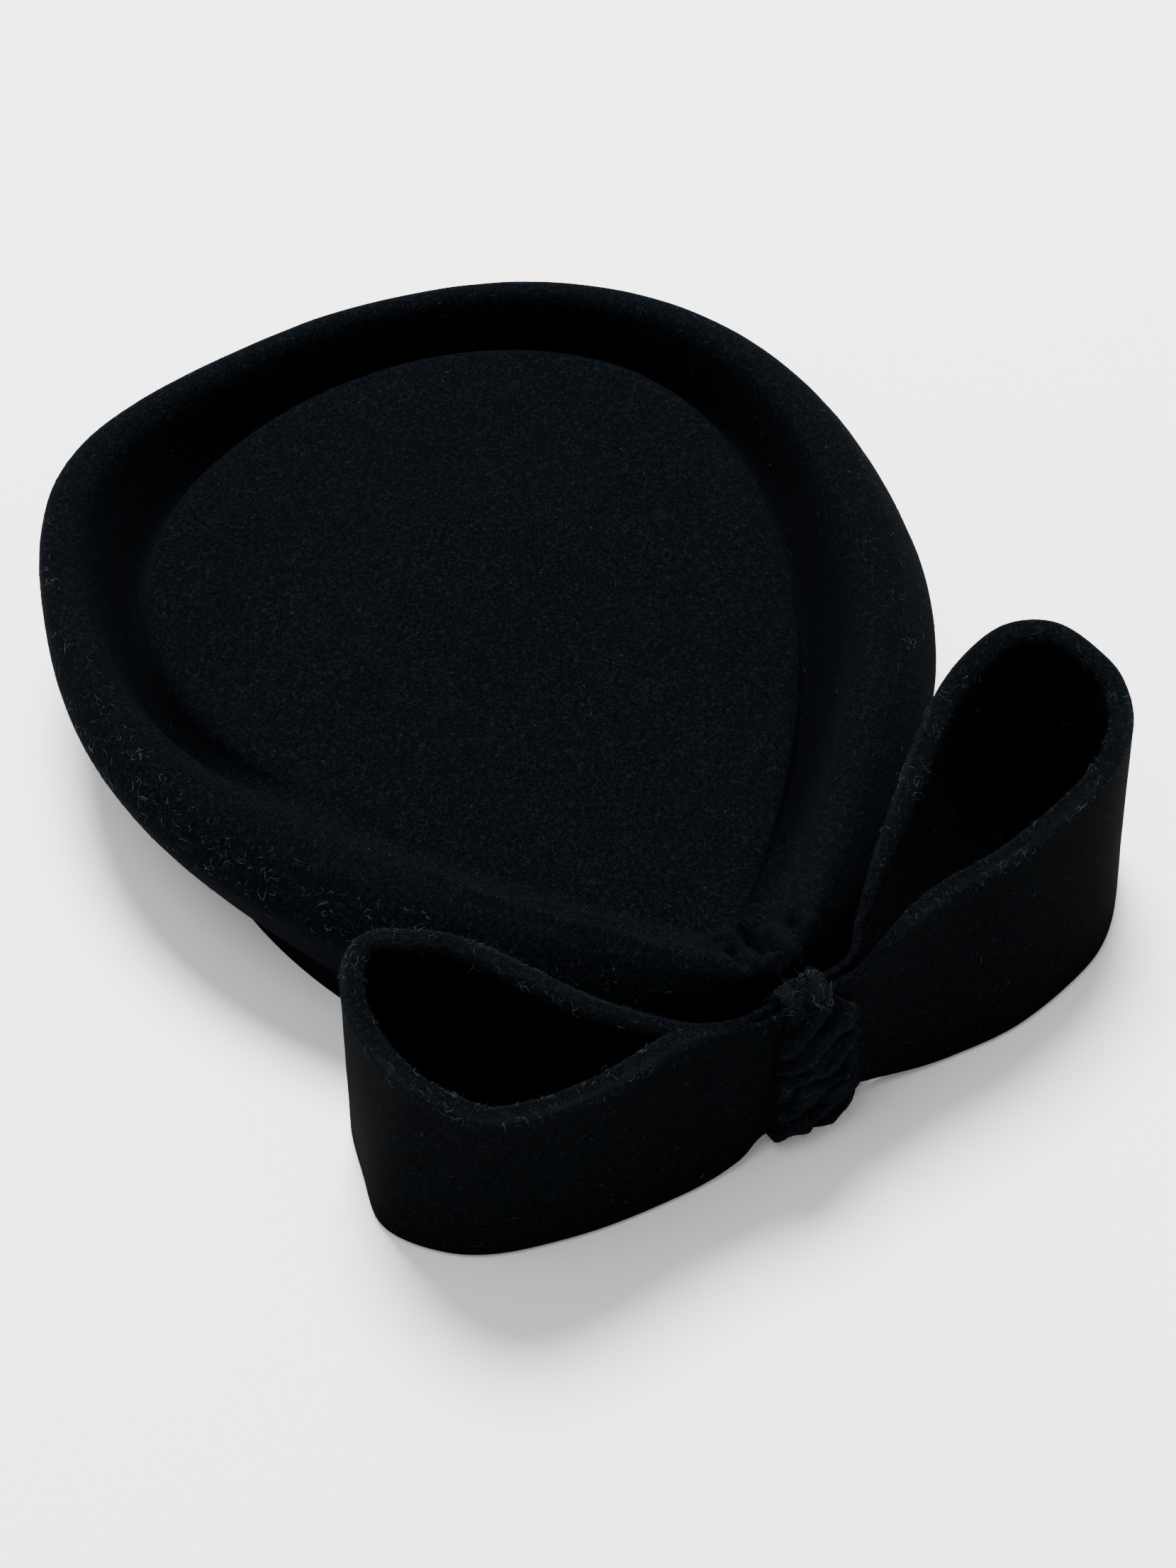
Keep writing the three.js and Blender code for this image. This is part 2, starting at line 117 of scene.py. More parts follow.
def lumps(points: Array, size: float, seed: float) -> Array:
    """Smooth irregularities of a hand-made surface.

    Args:
        points: where they are wanted, in millimetres.
        size: the size of one lump.
        seed: moves the pattern, so that no two pieces share it.

    Returns:
        A value from about -1 to 1 for each point.
    """
    flat = points.reshape(-1, 3) / size + seed
    found = np.array([noise.noise(Vector(p)) for p in flat])
    return found.reshape(points.shape[:-1])


def path_distance(points: Array, path: Array) -> tuple[Array, Array]:
    """How far points lie from a path, seen from above.

    Args:
        points: places, of which x and y are used.
        path: the path's corners as x and y.

    Returns:
        The distance of each point, and how far along the path its nearest place is, from 0 to 1.
    """
    legs = path[1:] - path[:-1]
    lengths = np.linalg.norm(legs, axis=1)
    starts = np.concatenate([[0.0], np.cumsum(lengths)])
    nearest = np.full(points.shape[:-1], np.inf)
    along = np.zeros(points.shape[:-1])
    for start, leg, length, before in zip(path[:-1], legs, lengths, starts):
        away = points[..., :2] - start
        t = np.clip((away @ leg) / length**2, 0.0, 1.0)
        gap = np.linalg.norm(away - t[..., None] * leg, axis=-1)
        closer = gap < nearest
        nearest = np.where(closer, gap, nearest)
        along = np.where(closer, (before + t * length) / starts[-1], along)
    return nearest, along


def grid_normals(points: Array) -> Array:
    """The directions that face out of a grid whose columns run all the way round.

    Args:
        points: rows of points.

    Returns:
        A unit vector for each point; its sign follows the order of the rows.
    """
    down = np.gradient(points, axis=0)
    across = np.roll(points, -1, axis=1) - np.roll(points, 1, axis=1)
    return unit(np.cross(across, down))


def grid_body(name: str, points: Array, marks: dict[str, Array], ring: bool = False) -> bpy.types.Object:
    """Makes one closed body from a grid whose columns run all the way round.

    Args:
        name: the object's name.
        points: rows of points in millimetres, in the row frame.
        marks: values for each point, kept as attributes that the finishes read.
        ring: whether the rows close on themselves too; if not, both ends are filled.

    Returns:
        The finished object, at the origin.
    """
    columns = points.shape[1]
    wide = np.concatenate([points, points[:, :1]], axis=1)
    spread = {key: np.concatenate([value, value[:, :1]], axis=1) for key, value in marks.items()}
    if ring:
        wide = np.concatenate([wide, wide[:1]], axis=0)
        spread = {key: np.concatenate([value, value[:1]], axis=0) for key, value in spread.items()}
    bm = bmesh.new()
    bm.loops.layers.uv.new("UVMap")
    layers = {key: bm.verts.layers.float.new(key) for key in marks}
    bmesh.ops.create_grid(bm, x_segments=columns, y_segments=len(wide) - 1, size=1.0, calc_uvs=True)
    for vert in bm.verts:
        i = round((vert.co.y + 1.0) / 2.0 * (len(wide) - 1))
        j = round((vert.co.x + 1.0) / 2.0 * columns)
        for key, layer in layers.items():
            vert[layer] = spread[key][i, j]
        vert.co = wide[i, j] * MM
    seam = [vert for vert in bm.verts if vert.is_boundary]
    bmesh.ops.remove_doubles(bm, verts=seam, dist=SEAM_GAP)
    ends = [edge for edge in bm.edges if edge.is_boundary]
    if ends:
        bmesh.ops.holes_fill(bm, edges=ends, sides=0)
    bmesh.ops.dissolve_degenerate(bm, edges=bm.edges, dist=SLIVER)
    bmesh.ops.recalc_face_normals(bm, faces=bm.faces)
    return new_object(name, bm)


def new_object(name: str, bm: bmesh.types.BMesh) -> bpy.types.Object:
    """Turns a bmesh into a smooth-shaded object in the scene."""
    mesh = bpy.data.meshes.new(name)
    bm.to_mesh(mesh)
    bm.free()
    mesh.shade_smooth()
    obj = bpy.data.objects.new(name, mesh)
    bpy.context.scene.collection.objects.link(obj)
    return obj


def attach(obj: bpy.types.Object, material: bpy.types.Material) -> None:
    """Gives a piece its finish, and lets it ride on the hat's one body.

    Args:
        obj: the piece.
        material: the finish.
    """
    obj.data.materials.clear()
    obj.data.materials.append(material)
    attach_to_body(obj, BODY)


# Shader maths.


class Value:
    """One output socket of a material, with the arithmetic that adds Math nodes."""

    def __init__(self, kit: "NodeKit", socket: bpy.types.NodeSocket) -> None:
        """Wraps a socket."""
        self.kit = kit
        self.socket = socket

    def _math(self, operation: str, first: "Value | Number", second: "Value | Number") -> "Value":
        """One Math node."""
        return self.kit.add("ShaderNodeMath", {"operation": operation}, {0: first, 1: second})

    def __add__(self, other: "Value | Number") -> "Value":
        """self + other."""
        return self._math("ADD", self, other)

    def __radd__(self, other: Number) -> "Value":
        """other + self."""
        return self._math("ADD", other, self)

    def __sub__(self, other: "Value | Number") -> "Value":
        """self - other."""
        return self._math("SUBTRACT", self, other)

    def __rsub__(self, other: Number) -> "Value":
        """other - self."""
        return self._math("SUBTRACT", other, self)

    def __mul__(self, other: "Value | Number") -> "Value":
        """self * other."""
        return self._math("MULTIPLY", self, other)

    def __rmul__(self, other: Number) -> "Value":
        """other * self."""
        return self._math("MULTIPLY", other, self)

    def __abs__(self) -> "Value":
        """The size of self without its sign."""
        return self._math("ABSOLUTE", self, 0.0)

    def step(self, low: Number, high: Number) -> "Value":
        """A smooth step from 0 at low to 1 at high."""
        settings = {"interpolation_type": "SMOOTHSTEP", "clamp": True}
        return self.kit.add("ShaderNodeMapRange", settings, {0: self, 1: low, 2: high, 3: 0.0, 4: 1.0})


class NodeKit:
    """Adds the nodes of one material."""

    def __init__(self, name: str) -> None:
        """Starts a material with an empty node tree.

        Args:
            name: the material's name.
        """
        self.material = bpy.data.materials.new(name)
        self.material.use_nodes = True
        self.tree = self.material.node_tree
        self.tree.nodes.clear()

    def add(
        self, kind: str, settings: dict[str, object], inputs: dict[int | str, object], out: int | str = 0
    ) -> Value:
        """Adds one node of any type.

        Args:
            kind: the node's type name.
            settings: its own settings, which are made first.
            inputs: the values or links of its sockets, by number or name.
            out: the output that is wanted, by number or name.

        Returns:
            The wanted output.
        """
        node = self.tree.nodes.new(kind)
        for key, value in settings.items():
            setattr(node, key, value)
        for key, value in inputs.items():
            if isinstance(value, Value):
                self.tree.links.new(value.socket, node.inputs[key])
            else:
                node.inputs[key].default_value = value
        return Value(self, node.outputs[out])

    def place(self) -> Value:
        """The point's place on the piece, in metres."""
        return self.add("ShaderNodeTexCoord", {}, {}, "Object")

    def mark(self, name: str) -> Value:
        """One of the piece's own attributes."""
        return self.add("ShaderNodeAttribute", {"attribute_name": name}, {}, "Fac")

    def grain(self, place: Value, scale: float, detail: float, rough: float, warp: float = 0.0) -> Value:
        """Fractal noise.

        Args:
            place: where it is read.
            scale: lumps to the metre.
            detail: how many finer layers it has.
            rough: how strong the finer layers are.
            warp: how far it is distorted.

        Returns:
            The noise, around 0.5.
        """
        inputs = {"Vector": place, "Scale": scale, "Detail": detail, "Roughness": rough, "Distortion": warp}
        return self.add("ShaderNodeTexNoise", {"noise_dimensions": "3D"}, inputs, "Fac")

    def mix(self, factor: Value | Number, first: object, second: object) -> Value:
        """Blends two colours."""
        return self.add("ShaderNodeMix", {"data_type": "RGBA"}, {0: factor, 6: first, 7: second}, 2)

    def bump(self, height: Value, strength: float, distance: float, normal: Value | None = None) -> Value:
        """Turns a height into a surface direction.

        Args:
            height: the height, from about 0 to 1.
            strength: how strong it looks.
            distance: what a height of 1 stands for, in metres.
            normal: another bump that this one goes on top of.

        Returns:
            The surface direction.
        """
        inputs: dict[int | str, object] = {"Strength": strength, "Distance": distance, "Height": height}
        if normal is not None:
            inputs["Normal"] = normal
        return self.add("ShaderNodeBump", {}, inputs)

    def finish(self, values: dict[str, object]) -> bpy.types.Material:
        """Adds the shader and the output.

        Args:
            values: the shader's sockets by name.

        Returns:
            The finished material.
        """
        shader = self.add("ShaderNodeBsdfPrincipled", {}, values)
        output = self.tree.nodes.new("ShaderNodeOutputMaterial")
        self.tree.links.new(shader.socket, output.inputs["Surface"])
        return self.material


Colour = tuple[float, float, float, float]


@dataclass(frozen=True)
class FeltFinish:
    """Black wool felt: a dense nap of curled fibres, paler where worn, and darkened by painted shade in its
    hollows.
    """

    name: str
    deep: Colour = (0.0003, 0.0005, 0.0008, 1.0)
    nap: Colour = (0.0009, 0.0016, 0.0024, 1.0)
    dusk: Colour = (0.0012, 0.0013, 0.0023, 1.0)
    # The colour of the painted shade, blended in across hollows and the loops' insides.
    shade_colour: Colour = (0.0002, 0.0003, 0.0005, 1.0)
    fibre: Colour = (0.010, 0.0135, 0.0165, 1.0)
    edge: Colour = (0.0026, 0.0037, 0.0047, 1.0)
    nap_scale: float = 2300.0
    fibre_scale: float = 1550.0
    mottle_scale: float = 38.0
    roughness: float = 0.95
    sheen: float = 0.0035
    sheen_roughness: float = 0.55
    sheen_tint: Colour = (0.60, 0.78, 0.95, 1.0)
    specular: float = 0.010
    nap_depth: float = 0.00020
    fibre_depth: float = 0.00012
    curl_share: float = 0.56
    fine_share: float = 0.30
    # How far the painted shade darkens towards that colour.
    shade_strength: float = 0.72

    def material(self) -> bpy.types.Material:
        """Builds the material.

        Returns:
            The felt.
        """
        kit = NodeKit(self.name)
        place = kit.place()
        nap = kit.grain(place, self.nap_scale, detail=6.0, rough=0.72, warp=0.6)
        mottle = kit.grain(place, self.mottle_scale, detail=3.0, rough=0.5)
        patches = kit.grain(place, self.mottle_scale * 4.5, detail=4.0, rough=0.6)
        curls = self.strands(kit, place, self.fibre_scale, width=0.040)
        fine = self.strands(kit, place, self.fibre_scale * 2.1, width=0.075)
        worn = kit.mark("worn")
        hue = kit.grain(place, self.mottle_scale * 0.8, detail=2.0, rough=0.5).step(0.44, 0.60)
        tone = (nap.step(0.41, 0.62) * 0.95 + mottle * 0.35 + patches * 0.25 - 0.34).step(0.0, 1.0)
        colour = kit.mix(tone, self.deep, kit.mix(hue, self.nap, self.dusk))
        colour = kit.mix(worn * (0.35 + nap * 0.9), colour, self.edge)
        colour = kit.mix(curls * self.curl_share, colour, self.fibre)
        colour = kit.mix(fine * self.fine_share, colour, self.fibre)
        # Painted shade: the hollow mark darkens hollows and the loops' insides.
        colour = kit.mix(kit.mark("hollow") * self.shade_strength, colour, self.shade_colour)
        rough = self.roughness + (nap - 0.5) * 0.10
        soft = kit.bump(patches, strength=0.35, distance=self.nap_depth * 3.0)
        furry = kit.bump(nap, strength=0.75, distance=self.nap_depth, normal=soft)
        strands = kit.bump(curls + fine * 0.6, strength=0.6, distance=self.fibre_depth, normal=furry)
        return kit.finish(
            {
                "Base Color": colour,
                "Roughness": rough,
                "Normal": strands,
                "IOR": 1.42,
                "Specular IOR Level": self.specular,
                "Sheen Weight": self.sheen,
                "Sheen Roughness": self.sheen_roughness,
                "Sheen Tint": self.sheen_tint,
            }
        )

    def strands(self, kit: NodeKit, place: Value, scale: float, width: float) -> Value:
        """Thin curled lines where two noises cross their middle value.

        Args:
            kit: the material's nodes.
            place: where it is read.
            scale: strands to the metre.
            width: a strand's width, as a share of the noise's range.

        Returns:
            1 on a strand and 0 between strands.
        """
        wave = kit.grain(place, scale, detail=1.5, rough=0.5, warp=1.6)
        breaks = kit.grain(place, scale * 0.7, detail=2.0, rough=0.6).step(0.50, 0.62)
        return (1.0 - abs(wave - 0.5).step(0.0, width)) * breaks


@dataclass(frozen=True)
class FibreFinish:
    """Loose wool fibres that stand off the felt."""

    name: str
    dark: Colour = (0.0025, 0.0035, 0.0045, 1.0)
    pale: Colour = (0.022, 0.027, 0.031, 1.0)

    def material(self) -> bpy.types.Material:
        """Builds the material.

        Returns:
            The fibres' finish.
        """
        kit = NodeKit(self.name)
        place = kit.place()
        each = kit.grain(place, 260.0, detail=2.0, rough=0.6).step(0.42, 0.66)
        along = kit.grain(place, 2600.0, detail=2.0, rough=0.5)
        colour = kit.mix(each * (0.5 + along * 0.6), self.dark, self.pale)
        return kit.finish(
            {
                "Base Color": colour,
                "Roughness": 0.8 + along * 0.12,
                "IOR": 1.5,
                "Specular IOR Level": 0.04,
                "Sheen Weight": 0.01,
                "Sheen Roughness": 0.5,
            }
        )


# The crown.


@dataclass(frozen=True)
class CrownRing:
    """One ring of the crown's outer face: a teardrop, as shares of the crown's sizes."""

    name: str
    wide: float
    start: float
    end: float
    point: float
    blunt: float
    rise: float
    tip: float
    side: float
    back: float
    dome: float
    swell: float
    fill: float = 0.0


@dataclass(frozen=True)
class Corner:
    """A soft corner or flat of the rim, at a share of the half turn from the tip to the back."""

    at: float
    spread: float
    out: float
    lift: float


@dataclass(frozen=True)
class Crease:
    """A ridge (up) or a crease (down) that runs along a path over the crown, seen from above."""

    name: str
    path: tuple[tuple[float, float], ...]
    height: float
    width: float
    fade: float = 0.25


CROWN_RINGS = (
    CrownRing("dome top", 0.260, 0.410, 0.690, 0.60, 0.30, 1.0, 0.24, 0.20, 0.20, 1.0, 0.0),
    CrownRing("dome slope", 0.500, 0.250, 0.810, 0.80, 0.15, 1.0, 0.26, 0.25, 0.25, 1.0, 0.0, 0.3),
    CrownRing("dome side", 0.672, 0.128, 0.889, 0.92, 0.05, 1.0, 0.28, 0.34, 0.33, 1.0, 0.1, 1.0),
    CrownRing("dome shoulder", 0.735, 0.088, 0.922, 0.96, 0.02, 1.0, 0.30, 0.46, 0.42, 1.0, 0.1, 1.0),
    CrownRing("channel wall", 0.764, 0.076, 0.932, 0.98, 0.0, 1.0, 0.31, 0.84, 0.84, 0.9, 0.2, 1.0),
    CrownRing("channel floor", 0.802, 0.060, 0.942, 1.00, 0.0, 1.0, 0.28, 1.00, 1.00, 0.5, 0.3, 1.0),
    CrownRing("rim inner wall", 0.838, 0.040, 0.953, 1.00, 0.0, 1.0, 0.16, 0.62, 0.62, 0.2, 0.6, 1.0),
    CrownRing("rim inner edge", 0.866, 0.026, 0.962, 1.00, 0.0, 1.0, 0.04, 0.12, 0.12, 0.0, 0.8, 1.0),
    CrownRing("rim top", 0.916, 0.004, 0.975, 1.00, 0.0, 1.0, -0.06, 0.0, 0.0, 0.0, 1.0),
    CrownRing("rim shoulder", 0.976, 0.001, 0.992, 0.84, 0.05, 0.935, -0.06, 0.0, 0.0, 0.0, 1.0),
    CrownRing("rim bulge", 1.000, 0.000, 1.000, 0.66, 0.14, 0.75, 0.0, 0.0, 0.0, 0.0, 1.0),
    CrownRing("under the rim", 0.940, 0.012, 0.972, 0.66, 0.25, 0.46, 0.0, 0.0, 0.0, 0.0, 0.8),
    CrownRing("waist", 0.808, 0.030, 0.926, 0.35, 0.45, 0.20, 0.0, 0.0, 0.0, 0.0, 0.5),
    CrownRing("lower edge", 0.812, 0.030, 0.924, 0.35, 0.50, 0.0, 0.0, 0.0, 0.0, 0.0, 0.4),
)

RIM_CORNERS = (
    Corner(-0.83, 0.073, 1.40, 0.50),
    Corner(-0.99, 0.070, 0.38, 0.00),
    Corner(0.70, 0.110, -0.48, 0.00),
    Corner(0.37, 0.080, 0.60, 0.00),
)

# Gathers that fan out from under the wrap, and the fold of the rim on the left of them.
TIP_CREASES = (
    Crease("left crease", ((-3.2, 15.0), (-3.8, 9.1), (-4.4, 5.4), (-5.2, 0.8)), -3.2, 1.05),
    Crease("right crease", ((3.0, 10.4), (1.4, 5.6), (0.3, 1.8)), -2.4, 1.2),
    Crease("far right crease", ((8.6, 7.8), (5.6, 3.2)), -1.2, 1.1),
    Crease("middle ridge", ((-0.2, 12.4), (-1.5, 6.4), (-2.7, 1.6)), 1.9, 1.35),
    Crease("right ridge", ((6.0, 8.2), (3.8, 3.4), (0.7, -0.4)), 1.8, 1.4),
    Crease(
        "left arch",
        ((-12.8, 12.6), (-9.0, 14.2), (-6.7, 12.8), (-6.4, 9.2), (-7.2, 4.6), (-7.2, 0.6)),
        1.7,
        1.3,
    ),
    Crease("eye", ((-8.2, 11.9), (-9.1, 8.2), (-9.0, 5.4)), -2.9, 0.95, 0.35),
    Crease(
        "rim lip",
        ((-45.0, 53.4), (-38.5, 42.9), (-33.0, 33.9), (-25.0, 23.7), (-17.6, 14.2)),
        0.55,
        0.85,
        0.12,
    ),
    Crease("behind the lip", ((-35.2, 41.2), (-30.4, 34.0), (-22.6, 24.2), (-15.6, 15.6)), -0.75, 1.15, 0.2),
)


@dataclass
class FeltCrown:
    """The crown: dome, channel, rolled rim and undercut side wall, moulded in one piece of felt."""

    width: float = 149.0
    length: float = 164.0
    rim_height: float = 36.0
    channel_depth: float = 14.0
    felt: float = 3.0
    dome_shift: float = -0.7
    tip_lean: float = -5.3
    corner_swell: float = 5.0
    dome_sink: float = 0.19
    dome_middle: float = 0.55
    tip_fall: float = 2.2
    left_channel: tuple[float, float] = (0.44, 0.62)
    gather_heights: tuple[float, float] = (0.45, 0.85)
    tuck_depth: float = 1.2
    tuck_turns: tuple[float, float, float] = (18.0, 14.0, 6.0)
    tuck_rows: float = 0.62
    wobble: float = 0.22
    row_steps: int = 8
    inner_step: int = 2
    stations: int = 340
    station_bias: float = 1.5
    cap_rows: int = 5
    # Rows, counted in rings from the dome's top, where the channel's painted shade fades in and where it
    # fades out.
    channel_starts: tuple[float, float] = (3.0, 4.2)
    channel_ends: tuple[float, float] = (6.2, 7.5)
    rim_wear: float = 0.16
    rings: tuple[CrownRing, ...] = CROWN_RINGS
    corners: tuple[Corner, ...] = RIM_CORNERS
    creases: tuple[Crease, ...] = TIP_CREASES
    finish: FeltFinish = FeltFinish("crown_wool_felt")

    def turns(self) -> Array:
        """Where the stations stand on the turn from the tip, closer together at the gathers."""
        half = self.stations // 2
        at = np.arange(-half, half)
        return np.sign(at) * math.pi * (np.abs(at) / half) ** self.station_bias

    def teardrop(self, point: Array | float, blunt: Array | float, turn: Array) -> Array:
        """The half width of a teardrop at a turn from its tip, before it gets its full width."""
        return np.sin(turn) * (blunt + (1.0 - blunt) * np.abs(np.sin(turn / 2.0)) ** point)

    def widest(self, point: Array | float, blunt: Array | float) -> Array:
        """The greatest half width of such a teardrop."""
        return self.teardrop(point, blunt, np.linspace(0.0, math.pi, 91)).max(axis=-1, keepdims=True)

    def corner_pull(self, turns: Array) -> tuple[Array, Array]:
        """How far the rim's corners pull it out and up.

        Args:
            turns: the stations' turns.

        Returns:
            The outward and the upward pull at each station.
        """
        out, lift = np.zeros_like(turns), np.zeros_like(turns)
        for corner in self.corners:
            apart = np.abs(turns / math.pi - corner.at)
            apart = np.minimum(apart, 2.0 - apart)
            strength = self.corner_swell * np.exp(-0.5 * (apart / corner.spread) ** 2)
            out += corner.out * strength
            lift += corner.lift * strength
        return out, lift

    def smooth_face(self, turns: Array) -> Array:
        """The outer face without its gathers.

        Args:
            turns: the stations' turns.

        Returns:
            Rows of points from the middle of the dome to the lower edge.
        """
        table = np.array([list(vars(ring).values())[1:] for ring in self.rings])
        columns = [column[:, None] for column in smooth_rows(table, self.row_steps).T]
        wide, start, end, point, blunt, rise, tip, side, back, dome, swell, fill = columns
        half = np.abs(turns)[None, :]
        full = self.widest(point, blunt)
        tip_share = np.maximum(0.0, np.cos(half)) ** self.tip_fall
        back_share = np.maximum(0.0, -np.cos(half))
        sink = side + (tip - side) * tip_share + (back - side) * back_share
        faded = (1.0 - ease(half / math.pi, *self.left_channel)) * (turns < 0.0)[None, :]
        sink = sink + (tip - sink) * faded * fill
        out, lift = self.corner_pull(turns)
        x = np.sign(turns) * self.width / 2.0 * wide * self.teardrop(point, blunt, half) / full
        y = (start + end) / 2.0 * self.length - (end - start) / 2.0 * self.length * np.cos(half)
        z = self.rim_height * rise - self.channel_depth * sink
        away = unit(np.stack([x, y - self.length * self.dome_middle], axis=-1))
        x = x + away[..., 0] * out * swell + self.dome_shift * dome
        x = x + self.tip_lean * np.maximum(0.0, np.cos(half)) ** 4
        y = y + away[..., 1] * out * swell
        z = z + lift * swell * rise
        face = np.stack([x, y, z], axis=-1)
        top = self.rim_height - self.channel_depth * self.dome_sink
        middle = np.array([self.dome_shift, self.length * self.dome_middle, top])
        shrink = np.linspace(0.0, 1.0, self.cap_rows + 1)[:-1, None, None]
        return np.concatenate([middle + (face[0] - middle) * shrink, face], axis=0)

    def detail(self, face: Array, outward: Array, turns: Array) -> Array:
        """Adds the gathers, the folded lip, the tuck beside the knot and a hand-made unevenness.

        Args:
            face: the smooth outer face.
            outward: the directions that face out of it.
            turns: the stations' turns.

        Returns:
            The detailed outer face.
        """
        detailed = face.copy()
        top = ease(face[..., 2], *(self.rim_height * share for share in self.gather_heights))
        for crease in self.creases:
            gap, along = path_distance(face, np.array(crease.path))
            fade = ease(along, -0.02, crease.fade) * (1.0 - 0.5 * ease(along, 1.0 - crease.fade, 1.02))
            detailed[..., 2] += crease.height * np.exp(-((gap / crease.width) ** 2)) * fade * top
        first, full, last = (math.radians(turn) for turn in self.tuck_turns)
        span = ease(-turns, last, (full + last) / 2.0) * (1.0 - ease(-turns, full, first))
        height = face[..., 2] / self.rim_height
        band = ease(height, 0.25, 0.55) * (1.0 - ease(height, 0.80, 1.02))
        rows = np.arange(len(face))[:, None] > len(face) * self.tuck_rows
        level = unit(outward * np.array([1.0, 1.0, 0.0]))
        detailed -= level * (self.tuck_depth * span[None, :] * band * rows)[..., None]
        uneven = lumps(face, size=17.0, seed=3.1) * 0.7 + lumps(face, size=6.5, seed=8.7) * 0.35
        foot = ease(face[..., 2], 0.0, 4.0)
        return detailed + outward * (uneven * self.wobble * foot)[..., None]

    def build(self) -> bpy.types.Object:
        """Builds and dresses the crown.

        Returns:
            The crown, which stands for the frame's own.
        """
        turns = self.turns()
        face = self.smooth_face(turns)
        outward = grid_normals(face)
        outward *= np.sign(outward[self.cap_rows, 0, 2])
        outward[0] = (0.0, 0.0, 1.0)
        outer = self.detail(face, outward, turns)
        outer[-1] = face[-1]
        inner = face - outward * self.felt
        inner[-1, :, 2] = 0.0
        inner = np.concatenate([inner[: 0 : -self.inner_step], inner[:1]], axis=0)
        points = np.concatenate([outer, inner], axis=0) + np.array(CROWN_PLACE)
        height = outer[..., 2] / self.rim_height
        worn, hollow = np.zeros(points.shape[:2]), np.zeros(points.shape[:2])
        worn[: len(outer)] = self.rim_wear * ease(height, 0.94, 1.04)
        ring = (np.arange(len(outer)) - self.cap_rows)[:, None] / self.row_steps
        channel = ease(ring, *self.channel_starts) * (1.0 - ease(ring, *self.channel_ends))
        # Painted shade in the channel between dome and rim, darker the deeper it lies.
        hollow[: len(outer)] = channel * ease(1.0 - height, 0.10, 0.30)
        obj = grid_body("crown_felt_shell", points, {"worn": worn, "hollow": hollow})
        attach(obj, self.finish.material())
        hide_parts("felt_crown")
        return obj


# The bow.


@dataclass(frozen=True)
class PlanPoint:
    """A point of a loop's outer face in plan, for the top edge, with the foot's shift from there."""

    out: float
    back: float
    splay: float
    tuck: float
    layer: float
    pinch: float = 0.0
    lift: float = 0.0


def plan(*rows: tuple[float, ...]) -> tuple[PlanPoint, ...]:
    """A loop's plan from its rows of shares."""
    return tuple(PlanPoint(*row) for row in rows)


LEFT_PLAN = plan(
    (0.0, 0.0, 0.0, 0.0, -1.0, 1.0, 1.0),
    (0.125, 0.0, 0.0, 0.0, -1.0, 0.99, 0.99),
    (0.204, 0.012, 0.0, -0.020, -1.0, 0.60, 0.30),
    (0.355, 0.047, 0.0, -0.048, -1.0, 0.12),
    (0.613, 0.038, 0.0, 0.014, -1.0),
    (0.856, 0.106, 0.006, 0.044, -0.6),
    (0.962, 0.285, 0.032, -0.008, -0.3),
    (1.010, 0.469, 0.060, -0.010, 0.0),
    (1.010, 0.749, 0.025, -0.079, 0.2),
    (0.945, 0.947, 0.026, -0.038, 0.4),
    (0.855, 1.020, 0.004, -0.050, 0.5),
    (0.750, 0.949, 0.034, -0.064, 0.6),
    (0.629, 0.768, 0.055, -0.056, 0.8),
    (0.469, 0.337, 0.035, -0.033, 1.0, 0.10),
    (0.318, 0.077, 0.0, 0.0, 1.0, 0.40, 0.30),
    (0.205, 0.006, 0.0, 0.0, 1.0, 0.80, 0.80),
    (0.125, 0.0, 0.0, 0.0, 1.0, 0.99, 0.99),
    (0.0, 0.0, 0.0, 0.0, 1.0, 1.0, 1.0),
)

RIGHT_PLAN = plan(
    (0.0, 0.0, 0.0, 0.0, -1.0, 1.0, 1.0),
    (0.115, 0.0, 0.0, 0.0, -1.0, 0.99, 1.0),
    (0.175, 0.012, 0.0, -0.015, -1.0, 0.60, 0.60),
    (0.337, 0.054, 0.003, -0.112, -1.0, 0.10, 0.03),
    (0.537, 0.064, 0.010, -0.156, -1.0),
    (0.775, 0.150, 0.006, -0.155, -0.6),
    (0.918, 0.304, 0.013, -0.066, -0.3),
    (0.982, 0.513, 0.005, -0.066, 0.0),
    (0.990, 0.703, -0.016, -0.092, 0.1),
    (0.960, 0.922, -0.035, -0.221, 0.3),
    (0.880, 1.031, -0.038, -0.308, 0.4),
    (0.772, 1.015, -0.022, -0.347, 0.5),
    (0.633, 0.887, 0.013, -0.316, 0.7),
    (0.450, 0.598, 0.037, -0.170, 1.0, 0.05),
    (0.292, 0.341, 0.021, -0.053, 1.0, 0.30, 0.20),
    (0.175, 0.125, 0.0, 0.0, 1.0, 0.72, 0.75),
    (0.115, 0.012, 0.0, 0.0, 1.0, 0.98, 0.98),
    (0.0, 0.0, 0.0, 0.0, 1.0, 1.0, 1.0),
)


@dataclass(frozen=True)
class Knot:
    """Sizes of the pinched middle of the bow, which both loops and the wrap share."""

    clearance: float = 0.3
    pinch_felt: float = 1.7
    pinch_height: float = 34.8
    wrap_felt: float = 2.8
    wrap_ruche: float = 0.7

    @property
    def corner(self) -> float:
        """The round ends' radius inside the wrap."""
        return self.pinch_felt + self.clearance * 1.5

    @property
    def low(self) -> float:
        """The wrap's lowest inner point."""
        return self.wrap_felt + self.wrap_ruche + self.clearance

    @property
    def edge_room(self) -> float:
        """The room between that point and the lowest pinched edge."""
        return self.corner * 0.55

    @property
    def pinch_low(self) -> float:
        """The lowest pinched edge."""
        return self.low + self.edge_room


